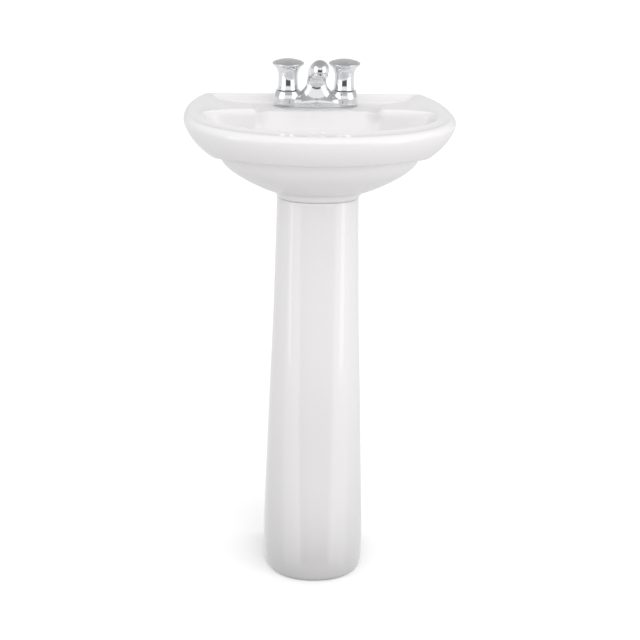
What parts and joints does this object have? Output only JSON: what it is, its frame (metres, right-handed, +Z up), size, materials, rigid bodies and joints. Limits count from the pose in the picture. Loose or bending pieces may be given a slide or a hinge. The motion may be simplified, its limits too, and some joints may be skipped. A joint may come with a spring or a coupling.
{
  "type": "pedestal sink",
  "caption": "Pedestal sink: D-shaped glazed basin on a tapered open-back pedestal, with a centerset faucet, pop-up drain and trap.",
  "frame": {"origin": "on the floor, under the middle of the basin's plan rectangle", "axes": "+Z up from the floor, +Y towards the wall behind (the wall plane is y = 0.202), +X to the right as seen from the front"},
  "size_m": [0.4796, 0.4043, 0.9389],
  "materials": {
    "china": "gloss white glaze over vitreous china",
    "chrome": "polished chrome plate",
    "brass": "machined, unplated",
    "plated_steel": "bright zinc plate",
    "black_rubber": "matt moulded",
    "grey_plastic": "moulded, lightly textured"
  },
  "bodies": {
    "root": {"aerator_ring": "chrome", "aerator_screen": "plated_steel", "aerator_washer": "black_rubber", "base_gasket": "grey_plastic", "basin": "china", "drain_body": "brass", "drain_flange": "chrome", "drain_gasket": "black_rubber", "drain_locknut": "brass", "drain_washer": "grey_plastic", "faucet_body": "chrome", "left_bonnet_nut": "brass", "left_cartridge": "grey_plastic", "mounting_nuts": "grey_plastic", "mounting_washers": "grey_plastic", "pedestal": "china", "pivot_nut": "grey_plastic", "pivot_seals": "grey_plastic", "right_bonnet_nut": "brass", "right_cartridge": "grey_plastic", "slip_washers": "black_rubber", "tailpiece": "chrome", "trap_arm": "chrome", "trap_bend": "chrome", "trap_inlet_nut": "chrome", "trap_outlet_nut": "chrome", "valve_seats": "black_rubber", "waterway": "brass"},
    "left_valve": {"left_handle": "chrome", "left_handle_cap": "chrome", "left_handle_screw": "plated_steel", "left_stem": "plated_steel"},
    "right_valve": {"right_handle": "chrome", "right_handle_cap": "chrome", "right_handle_screw": "plated_steel", "right_stem": "plated_steel"},
    "lift": {"lift_knob": "chrome", "lift_rod": "chrome", "clevis_strap": "plated_steel", "clevis_screw": "plated_steel", "spring_clip": "plated_steel"},
    "pivot": {"ball_rod": "plated_steel"},
    "plug": {"stopper": "chrome", "stopper_seal": "black_rubber"}
  },
  "joints": [
    {"name": "left_handle_turn", "type": "hinge", "parent": "root", "child": "left_valve", "pos_m": [-0.0508, 0.125, 0.87], "axis": [0, 0, 1], "range_deg": [0, 90]},
    {"name": "right_handle_turn", "type": "hinge", "parent": "root", "child": "right_valve", "pos_m": [0.0508, 0.125, 0.87], "axis": [0, 0, 1], "range_deg": [-90, 0]},
    {"name": "lift_rod_slide", "type": "slide", "parent": "root", "child": "lift", "axis": [0, 0, 1], "range_m": [0, 0.035]},
    {"name": "ball_rod_pivot", "type": "hinge", "parent": "root", "child": "pivot", "pos_m": [0, 0.014, 0.665], "axis": [1, 0, 0], "range_deg": [0, 15.9]},
    {"name": "stopper_slide", "type": "slide", "parent": "root", "child": "plug", "axis": [0, 0, 1], "range_m": [-0.0076, 0]}
  ],
  "couplings": [
    {"joint": "ball_rod_pivot", "follows": "lift_rod_slide", "rad_per_m": 7.9051},
    {"joint": "stopper_slide", "follows": "lift_rod_slide", "ratio": -0.21481}
  ]
}
